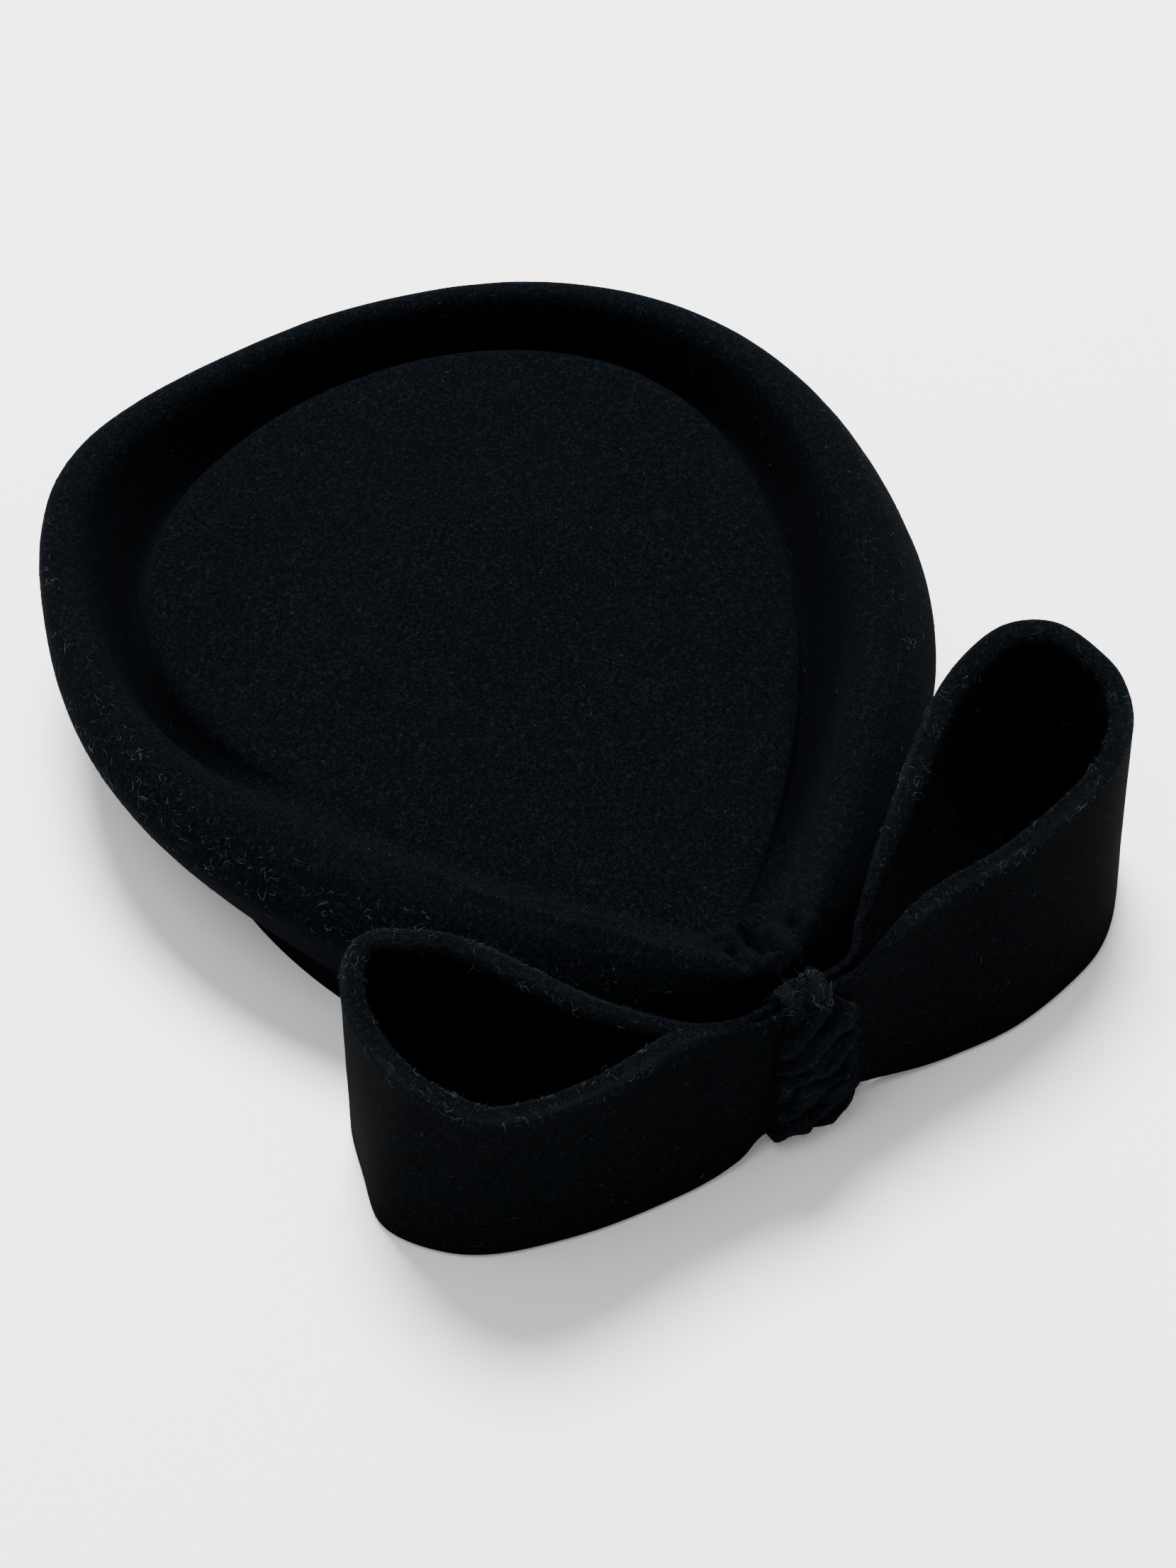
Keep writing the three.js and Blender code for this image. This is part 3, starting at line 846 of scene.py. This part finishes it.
@dataclass
class BowLoop:
    """One loop of the bow: a felt band bent round, its two ends lying together in the knot."""

    name: str
    node: str
    side: Side
    length: float
    depth: float
    table: tuple[PlanPoint, ...]
    flat_length: float
    band_height: float = 44.0
    visible_felt: float = 3.9
    edge_round: float = 1.15
    wobble: float = 0.28
    steps: int = 9
    across: int = 9
    up: int = 26
    knot: Knot = Knot()
    # A darker copy of the crown's felt: its darker nap and dusk colours are painted shade on the bow's
    # upright faces.
    finish: FeltFinish = FeltFinish(
        "bow_wool_felt", nap=(0.0005, 0.0009, 0.0014, 1.0), dusk=(0.0009, 0.0009, 0.0016, 1.0), sheen=0.001
    )

    def section(self) -> Array:
        """The band's section: share of its thickness from the outer face, and share of its height.

        Returns:
            Points round the section, with flat faces and worn round cut edges.
        """
        bow = self.edge_round / self.visible_felt
        tall = self.edge_round / self.band_height
        quarter = np.linspace(0.0, math.pi / 2.0, 5)
        low, high = np.linspace(tall, 1.0 - tall, self.up), np.linspace(bow, 1.0 - bow, self.across)
        outer = np.stack([np.zeros(self.up), low], axis=1)
        corner = np.stack([bow - bow * np.cos(quarter), 1.0 - tall + tall * np.sin(quarter)], axis=1)
        top = np.stack([high, np.ones(self.across)], axis=1)
        half = np.concatenate([outer, corner[1:-1], top])
        return np.concatenate([half, 1.0 - half])

    def plan_at(self, rows: Array, shift: float) -> Array:
        """The outer face in plan.

        Args:
            rows: the smooth table.
            shift: 0 at the top edge, 1 at the foot.

        Returns:
            A place for each row.
        """
        out, back, splay, tuck, layer = rows[:, :5].T
        apart = self.knot.clearance / 2.0
        x = self.side.value * (apart + (out + splay * shift) * self.length)
        y = layer * (self.knot.pinch_felt + apart) + (back + tuck * shift) * self.depth
        return np.stack([x, y], axis=1)

    def build(self) -> bpy.types.Object:
        """Builds and dresses the loop.

        Returns:
            The loop, which stands for the frame's own.
        """
        table = np.array([list(vars(point).values()) for point in self.table])
        rows = smooth_rows(table, self.steps)
        pinch, lift = np.clip(rows[:, 5], 0.0, 1.0), np.clip(rows[:, 6], 0.0, 1.0)
        foot, top = self.plan_at(rows, 1.0), self.plan_at(rows, 0.0)
        inward = unit(self.inward(foot) + self.inward(top))
        low = self.knot.pinch_low * lift
        high = self.band_height + (self.knot.pinch_low + self.knot.pinch_height - self.band_height) * pinch
        thick = self.visible_felt + (self.knot.pinch_felt - self.visible_felt) * ease(pinch, 0.0, 0.9)
        section = self.section()
        share, up = section[None, :, 0], section[None, :, 1]
        place = foot[:, None] * (1.0 - up[..., None]) + top[:, None] * up[..., None]
        place = place + inward[:, None] * (share * thick[:, None])[..., None]
        height = low[:, None] + (high - low)[:, None] * up
        points = np.concatenate([place, height[..., None]], axis=-1)
        points = self.uneven(points, inward, share, up, pinch) + np.array(BOW_PLACE)
        corner = 0.25 + 0.75 * np.maximum(ease(1.0 - share, 0.62, 0.86), ease(share, 0.70, 0.9))
        worn = np.maximum(ease(up, 0.962, 0.99) * corner, 0.6 * ease(1.0 - up, 0.985, 1.0))
        worn = worn * (1.0 - 0.8 * ease(pinch, 0.1, 0.6))[:, None] * (0.8 + 0.5 * lumps(points, 9.0, 2.9))
        # Painted shade on the loop's inner face, darker towards the foot.
        hollow = np.broadcast_to(ease(share, 0.55, 0.95) * ease(1.0 - up, 0.05, 0.55), worn.shape)
        obj = grid_body(self.name, points, {"worn": worn, "hollow": hollow})
        attach(obj, self.finish.material())
        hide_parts(self.node)
        flat = (self.band_height * MM, self.flat_length * MM)
        return obj

    def inward(self, place: Array) -> Array:
        """The directions in plan that point into the loop."""
        ahead = unit(np.gradient(place, axis=0))
        return np.stack([-ahead[:, 1], ahead[:, 0]], axis=1) * self.side.value

    def uneven(self, points: Array, inward: Array, share: Array, up: Array, pinch: Array) -> Array:
        """Adds a hand-cut unevenness to the faces and the cut edges.

        Args:
            points: the band's points.
            inward: the directions into the loop.
            share: each point's share of the thickness.
            up: each point's share of the height.
            pinch: how far the knot squeezes each row.

        Returns:
            The moved points.
        """
        free = (1.0 - ease(pinch, 0.2, 0.9))[:, None]
        bend = lumps(points, size=21.0, seed=1.7) * 0.8 + lumps(points, size=8.0, seed=5.2) * 0.35
        moved = points.copy()
        push = bend * self.wobble * free * (1.0 - 2.0 * share) * 0.6
        moved[..., :2] += inward[:, None] * push[..., None]
        edge = ease(up, 0.9, 1.0)
        moved[..., 2] += edge * free * self.wobble * 0.9 * lumps(points, 11.0, 9.4)
        return moved


@dataclass
class KnotWrap:
    """The strip of felt that is wound, ruched, round the pinched middle of the bow."""

    width: float = 15.0
    shift: float = 0.8
    pleats: float = 11.0
    pleat_tilt: float = 1.15
    pleat_depth: float = 1.9
    back_felt: float = 2.5
    top_felt: float = 1.1
    back_thins: tuple[float, float] = (22.0, 35.0)
    right_bulge: float = 1.5
    bulge_height: float = 12.0
    bulge_spread: float = 8.5
    calm_place: tuple[float, float] = (31.0, -0.38)
    calm_spread: tuple[float, float] = (4.6, 0.5)
    top_narrows: tuple[float, float] = (31.0, 41.0)
    foot_narrows: tuple[float, float] = (3.0, 10.0)
    top_share: float = 0.46
    foot_share: float = 0.20
    top_lean: float = 1.7
    foot_lean: float = 1.1
    stations: int = 264
    outer_columns: int = 40
    inner_columns: int = 11
    knot: Knot = Knot()
    # A slightly darker copy of the crown's felt: its darker nap colour is painted shade on the wrap.
    finish: FeltFinish = FeltFinish("wrap_wool_felt", nap=(0.0009, 0.0014, 0.0020, 1.0), sheen=0.003)

    def track(self) -> tuple[Array, Array, Array]:
        """The wrap's inner line, an upright ring with two straight sides.

        Returns:
            Each station's place as y and z, the direction that faces out of it, and its share of the round.
        """
        corner = self.knot.corner
        straight = self.knot.pinch_height + 2.0 * (self.knot.edge_room - corner)
        bend = math.pi * corner
        total = 2.0 * straight + 2.0 * bend
        share = np.arange(self.stations) / self.stations
        along = share * total
        places, facing = [], []
        for at in along:
            if at < straight:
                turn, base = math.pi, (0.0, at)
            elif at < straight + bend:
                turn, base = math.pi - (at - straight) / corner, (0.0, straight)
            elif at < 2.0 * straight + bend:
                turn, base = 0.0, (0.0, 2.0 * straight + bend - at)
            else:
                turn, base = -(at - 2.0 * straight - bend) / corner, (0.0, 0.0)
            face = (math.cos(turn), math.sin(turn))
            facing.append(face)
            places.append((base[0] + corner * face[0], self.knot.low + corner + base[1] + corner * face[1]))
        return np.array(places), np.array(facing), share

    def build(self) -> bpy.types.Object:
        """Builds and dresses the wrap.

        Returns:
            The wrap, which stands for the frame's own.
        """
        place, facing, share = self.track()
        turn = np.linspace(0.0, math.pi, self.outer_columns)
        outer = np.stack([-np.cos(turn), np.sin(turn) ** 0.55], axis=1)
        inner = np.stack([np.linspace(0.9, -0.9, self.inner_columns), np.zeros(self.inner_columns)], axis=1)
        section = np.concatenate([outer, inner])
        across, out = section[None, :, 0], section[None, :, 1]
        height = place[:, 1][:, None]
        front = (facing[:, 0] < 0.0)[:, None]
        before = np.maximum(ease(-facing[:, :1], -0.1, 0.85), ease(-facing[:, 1:], 0.2, 0.9))
        before = before * (1.0 - 0.45 * ease(height, *self.top_narrows))
        back = self.top_felt + (self.back_felt - self.top_felt) * (1.0 - ease(height, *self.back_thins))
        felt = back + (self.knot.wrap_felt - back) * before
        flat = np.stack(np.broadcast_arrays(self.width / 2.0 * across, place[:, :1], height), axis=-1)
        drift = lumps(flat, size=7.5, seed=2.2) * 0.55 + lumps(flat, size=3.4, seed=7.7) * 0.22
        phase = share[:, None] * self.pleats - self.pleat_tilt * across * 0.5 + drift
        lobe = np.abs(np.sin(math.pi * phase)) ** 0.7
        up_from, aside = height - self.calm_place[0], across - self.calm_place[1]
        calm = np.exp(-((up_from / self.calm_spread[0]) ** 2) - (aside / self.calm_spread[1]) ** 2) * front
        depth = self.pleat_depth * (0.85 + 0.6 * lumps(flat, 6.0, 5.5)) * (0.6 + 0.4 * before)
        ruche = depth * (lobe - 0.62) * (1.0 - 0.8 * calm) + 0.6 * calm
        bulge = np.exp(-(((height - self.bulge_height) / self.bulge_spread) ** 2))
        bulge = bulge * ease(across, 0.1, 1.0) * front
        rough = lumps(flat, size=2.4, seed=4.4) * 0.5 + lumps(flat, size=1.1, seed=6.1) * 0.30
        rise = np.maximum(out * (felt + ruche + self.right_bulge * bulge + rough), 0.0)
        edge = np.abs(across) * ease(out, 0.05, 0.6)
        wander = lobe - 0.55 + 0.9 * bulge * (across > 0.0) + 0.9 * lumps(flat, 5.2, 3.3)
        top, foot = ease(height, *self.top_narrows), 1.0 - ease(height, *self.foot_narrows)
        wide = self.width / 2.0 * (1.0 - self.top_share * top - self.foot_share * foot)
        side = wide * across + np.sign(across) * edge * wander * (0.4 + 0.6 * before)
        x = self.shift - self.top_lean * top - self.foot_lean * foot + side
        y = place[:, :1] + facing[:, :1] * rise
        z = np.maximum(place[:, 1:] + facing[:, 1:] * rise, self.knot.clearance)
        points = np.stack([x, y, z], axis=-1)
        worn = ease(lobe, 0.6, 1.0) * ease(out, 0.3, 0.9) * (1.0 - calm)
        obj = grid_body("knot_wrap_strip", points + np.array(BOW_PLACE), {"worn": worn * 0.55}, ring=True)
        attach(obj, self.finish.material())
        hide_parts("knot_wrap")
        return obj


# Loose fibres.


@dataclass
class Fibres:
    """Loose wool fibres on a finished piece: short upright fuzz, or longer curls that lie on it."""

    name: str
    host: bpy.types.Object
    slot: Slot
    count: int
    shortest: float
    longest: float
    radius: float
    lift: float
    curl: float
    points: int
    seed: int
    finish: FibreFinish
    weight: Callable[[Array, Array], Array] | None = None
    root_depth: float = 0.05
    upright_from: float = 0.6
    tip_share: float = 0.45

    def spots(self, rng: np.random.Generator) -> tuple[Array, Array]:
        """Picks where the fibres grow.

        Args:
            rng: the seeded source of chance.

        Returns:
            Places in metres, and the directions that face out of the piece there.
        """
        mesh = self.host.data
        mesh.calc_loop_triangles()
        count = len(mesh.loop_triangles)
        corners = np.empty(count * 3, np.int32)
        mesh.loop_triangles.foreach_get("vertices", corners)
        coordinates = np.empty(len(mesh.vertices) * 3, np.float32)
        mesh.vertices.foreach_get("co", coordinates)
        triangles = coordinates.reshape(-1, 3)[corners.reshape(-1, 3)].astype(float)
        cross = np.cross(triangles[:, 1] - triangles[:, 0], triangles[:, 2] - triangles[:, 0])
        chance = np.linalg.norm(cross, axis=1)
        facing = unit(cross)
        if self.weight is not None:
            chance = chance * self.weight(triangles.mean(axis=1) / MM, facing)
        pick = rng.choice(count, size=self.count, p=chance / chance.sum())
        share = rng.random((self.count, 2))
        over = share.sum(axis=1) > 1.0
        share[over] = 1.0 - share[over]
        base, side_a, side_b = triangles[pick, 0], triangles[pick, 1], triangles[pick, 2]
        spots = base + share[:, :1] * (side_a - base) + share[:, 1:] * (side_b - base)
        return spots, facing[pick]

    def lines(self, rng: np.random.Generator) -> Array:
        """Grows the fibres.

        Args:
            rng: the seeded source of chance.

        Returns:
            For each fibre, its points in metres.
        """
        spots, facing = self.spots(rng)
        random = unit(rng.normal(size=(self.count, 3)))
        along = unit(np.cross(facing, random))
        aside = np.cross(facing, along)
        length = rng.uniform(self.shortest, self.longest, self.count) * MM
        lift = self.lift * rng.uniform(0.6, 1.3, self.count)
        heading = np.zeros(self.count)
        turning = rng.normal(0.0, self.curl, self.count)
        step = length / (self.points - 1)
        line = [spots - facing * self.root_depth * MM]
        for index in range(1, self.points):
            rise = np.cos(math.pi * index / self.points) if self.lift < self.upright_from else 1.0
            level = along * np.cos(heading)[:, None] + aside * np.sin(heading)[:, None]
            way = unit(level + facing * (lift * rise)[:, None])
            line.append(line[-1] + way * step[:, None])
            line[-1][:, 2] = np.maximum(line[-1][:, 2], self.radius * MM)
            heading = heading + turning + rng.normal(0.0, self.curl * 0.5, self.count)
        return np.stack(line, axis=1)

    def build(self) -> bpy.types.Object:
        """Builds and dresses the fibres as thin closed tubes.

        Returns:
            The piece.
        """
        rng = np.random.default_rng(self.seed)
        curve = bpy.data.curves.new(self.name, "CURVE")
        curve.dimensions = "3D"
        curve.bevel_depth = self.radius * MM
        curve.bevel_resolution = 0
        curve.use_fill_caps = True
        taper = np.linspace(1.0, self.tip_share, self.points)
        weights = np.ones((self.points, 1))
        for line in self.lines(rng):
            spline = curve.splines.new("POLY")
            spline.points.add(self.points - 1)
            spline.points.foreach_set("co", np.concatenate([line, weights], axis=1).ravel())
            spline.points.foreach_set("radius", taper)
        tubes = bpy.data.objects.new(self.name + ".line", curve)
        bpy.context.scene.collection.objects.link(tubes)
        mesh = bpy.data.meshes.new_from_object(tubes.evaluated_get(bpy.context.evaluated_depsgraph_get()))
        bpy.data.objects.remove(tubes)
        bm = bmesh.new()
        bm.from_mesh(mesh)
        bpy.data.meshes.remove(mesh)
        bmesh.ops.remove_doubles(bm, verts=bm.verts, dist=SLIVER)
        bmesh.ops.recalc_face_normals(bm, faces=bm.faces)
        obj = new_object(self.name, bm)
        attach(obj, self.finish.material())
        return obj


# The studio.


@dataclass(frozen=True)
class SoftLight:
    """One soft light, at a place in metres, aimed at the hat."""

    name: str
    place: tuple[float, float, float]
    size: float
    power: float
    colour: tuple[float, float, float] = (1.0, 1.0, 1.0)


@dataclass
class Studio:
    """A plain pale floor, soft light and the camera at the photograph's angle."""

    azimuth: float = -33.0
    elevation: float = 54.0
    distance: float = 0.650
    target: tuple[float, float, float] = (0.004099, -0.006791, 0.0)
    focal_pixels: float = 5200.0
    image_height: float = 2212.0
    film: float = 36.0
    floor_reach: float = 6.0
    floor_colour: Colour = (0.90, 0.90, 0.90, 1.0)
    surround: float = 0.72
    lights: tuple[SoftLight, ...] = (
        SoftLight("key_softbox", (0.24, 0.58, 1.40), 0.62, 102.0),
        SoftLight("fill_softbox", (-0.5, -0.1, 1.5), 0.9, 9.0),
    )

    def build(self) -> None:
        """Sets up the camera, the floor and the lights."""
        self.add_camera()
        self.add_floor()
        self.add_lights()

    def add_camera(self) -> None:
        """Puts the camera where the photograph was taken from."""
        turn, tilt = math.radians(self.azimuth), math.radians(self.elevation)
        back = Vector((math.sin(turn) * math.cos(tilt), -math.cos(turn) * math.cos(tilt), math.sin(tilt)))
        data = bpy.data.cameras.new("camera")
        data.sensor_fit = "AUTO"
        data.sensor_width = self.film
        data.lens = self.film * self.focal_pixels / self.image_height
        data.clip_start = 0.01
        data.clip_end = 50.0
        camera = bpy.data.objects.new("camera", data)
        camera.location = Vector(self.target) + back * self.distance
        camera.rotation_euler = back.to_track_quat("Z", "Y").to_euler()
        bpy.context.scene.collection.objects.link(camera)
        bpy.context.scene.camera = camera

    def add_floor(self) -> None:
        """Lays a plain pale floor."""
        bm = bmesh.new()
        bmesh.ops.create_grid(bm, x_segments=2, y_segments=2, size=self.floor_reach)
        floor = new_object("floor", bm)
        kit = NodeKit("pale_floor")
        speckle = kit.grain(kit.place(), 300.0, detail=2.0, rough=0.5)
        grey = kit.mix(speckle * 0.02, self.floor_colour, (0.8, 0.8, 0.8, 1.0))
        material = kit.finish({"Base Color": grey, "Roughness": 0.9, "Specular IOR Level": 0.1})
        floor.data.materials.append(material)

    def add_lights(self) -> None:
        """Hangs the soft lights and an even surround."""
        for light in self.lights:
            data = bpy.data.lights.new(light.name, "AREA")
            data.shape = "DISK"
            data.size = light.size
            data.energy = light.power
            data.color = light.colour
            lamp = bpy.data.objects.new(light.name, data)
            lamp.location = light.place
            lamp.rotation_euler = Vector(light.place).to_track_quat("Z", "Y").to_euler()
            bpy.context.scene.collection.objects.link(lamp)
        world = bpy.data.worlds.new("surround")
        world.use_nodes = True
        world.node_tree.nodes["Background"].inputs["Color"].default_value = (1.0, 1.0, 1.0, 1.0)
        world.node_tree.nodes["Background"].inputs["Strength"].default_value = self.surround
        bpy.context.scene.world = world


def upper_edges(places: Array, facing: Array) -> Array:
    """Favours the bands' cut edges, most of all the upper ones, which fray."""
    return 0.08 + ease(places[:, 2], 40.5, 43.2) + 0.25 * (1.0 - ease(places[:, 2], 0.8, 2.5))


def cut_edges(places: Array, facing: Array) -> Array:
    """Favours the outer corners of the bands' upper cut edges."""
    corner = ease(places[:, 2], 42.0, 43.0) * (1.0 - 0.8 * ease(facing[:, 2], 0.8, 0.98))
    return 0.03 + corner


def rim_outside(places: Array, facing: Array) -> Array:
    """Favours the outer half of the rim's top, most of all on the left, where it is rubbed."""
    crown = FeltCrown()
    bulge = next(ring for ring in crown.rings if ring.name == "rim bulge")
    along = (places[:, 1] - CROWN_PLACE[1]) / crown.length
    turn = np.arccos(np.clip(1.0 - 2.0 * along, -1.0, 1.0))
    half = crown.width / 2.0 * crown.teardrop(bulge.point, bulge.blunt, turn)
    half = half / crown.widest(bulge.point, bulge.blunt)
    reach = np.abs(places[:, 0] - CROWN_PLACE[0]) / np.maximum(half, 1.0)
    outward = np.sum(facing[:, :2] * unit(places[:, :2]), axis=1)
    outside = ease(reach, 0.84, 0.94) * ease(places[:, 2], 20.0, 29.0) * ease(outward, -0.2, 0.3)
    return outside * (0.2 + ease(-places[:, 0], 15.0, 50.0)) + 1e-4


def wrap_ridges(places: Array, facing: Array) -> Array:
    """Favours the top of the wrap and its right side, where its folds are rubbed."""
    right = ease(places[:, 0] - BOW_PLACE[0], 4.0, 7.0)
    return 0.15 + 1.2 * ease(places[:, 2], 38.0, 41.0) + 0.9 * right


# What both bands share: count, shortest, longest, radius, lift, curl and points of their fibres.
BAND_FUZZ = (3600, 0.3, 0.9, 0.017, 0.9, 0.6, 4)
EDGE_STRANDS = (650, 0.5, 2.2, 0.028, 0.35, 0.60, 5)


def show(pieces: Iterable[bpy.types.Object]) -> None:
    """Reports finished pieces.

    Args:
        pieces: the pieces.
    """
    for obj in pieces:
        obj.data.calc_loop_triangles()
        log.info("built %s: %d triangles", obj.name, len(obj.data.loop_triangles))


def main() -> None:
    """Builds the hat and its studio in order."""
    crown = FeltCrown().build()
    left = BowLoop("left_loop_band", "bow_loop_left", Side.LEFT, 63.0, 43.5, LEFT_PLAN, 175.0).build()
    right = BowLoop("right_loop_band", "bow_loop_right", Side.RIGHT, 79.0, 38.0, RIGHT_PLAN, 182.0).build()
    wrap = KnotWrap().build()
    show((crown, left, right, wrap))
    lint = FibreFinish("loose_wool")
    pale = FibreFinish("pale_wool", (0.008, 0.010, 0.012, 1.0), (0.060, 0.068, 0.075, 1.0))
    wool = (
        Fibres("crown_lint", crown, Slot.CROWN, 1500, 0.8, 2.6, 0.022, 0.35, 0.55, 6, 11, lint),
        Fibres("crown_specks", crown, Slot.CROWN, 900, 0.3, 1.1, 0.034, 0.30, 0.80, 4, 16, pale),
        Fibres("crown_fuzz", crown, Slot.CROWN, 8000, 0.25, 0.65, 0.016, 1.2, 0.5, 3, 12, lint),
        Fibres("left_loop_fuzz", left, Slot.BOW, *BAND_FUZZ, 13, lint, upper_edges),
        Fibres("right_loop_fuzz", right, Slot.BOW, *BAND_FUZZ, 14, lint, upper_edges),
        Fibres("wrap_fuzz", wrap, Slot.WRAP, 2600, 0.3, 1.1, 0.020, 0.9, 0.7, 4, 15, lint),
        Fibres("wrap_strands", wrap, Slot.WRAP, 420, 1.0, 3.4, 0.026, 0.30, 0.60, 7, 17, pale, wrap_ridges),
        Fibres("left_edge_strands", left, Slot.BOW, *EDGE_STRANDS, 18, pale, cut_edges),
        Fibres("right_edge_strands", right, Slot.BOW, *EDGE_STRANDS, 19, pale, cut_edges),
        Fibres("rim_curls", crown, Slot.CROWN, 1000, 0.5, 2.2, 0.034, 0.35, 0.70, 5, 20, pale, rim_outside),
    )
    show(fibres.build() for fibres in wool)
    Studio().build()


if __name__ == "__main__":
    main()
